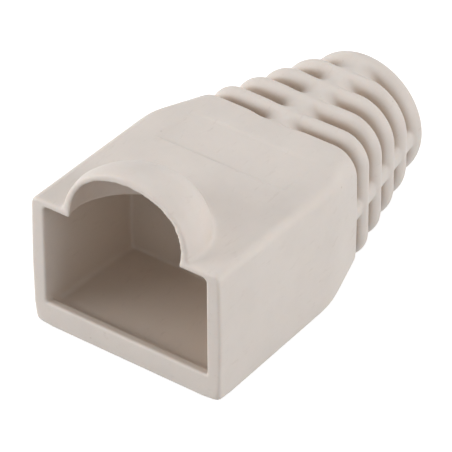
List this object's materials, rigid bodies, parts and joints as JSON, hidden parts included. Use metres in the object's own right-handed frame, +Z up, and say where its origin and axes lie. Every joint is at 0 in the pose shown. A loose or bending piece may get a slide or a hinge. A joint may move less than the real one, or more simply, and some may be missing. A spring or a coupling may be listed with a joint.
{
  "type": "rj45 strain relief boot",
  "caption": "Soft moulded boot with a box socket for a modular data plug, a domed hood over the plug's latch, and a ribbed tapering tail bored for the cable.",
  "frame": {"origin": "middle of the underside: centred across the width and along the length, at the level of the flat bottom face", "axes": "+Y along the cable, from the socket's mouth to the tail's end; +Z up, towards the hood; X across the plug"},
  "size_m": [0.014, 0.0248, 0.0129],
  "materials": {
    "soft_plastic": "satin, light warm grey soft vinyl"
  },
  "bodies": {
    "root": {"boot": "soft_plastic"}
  },
  "joints": []
}
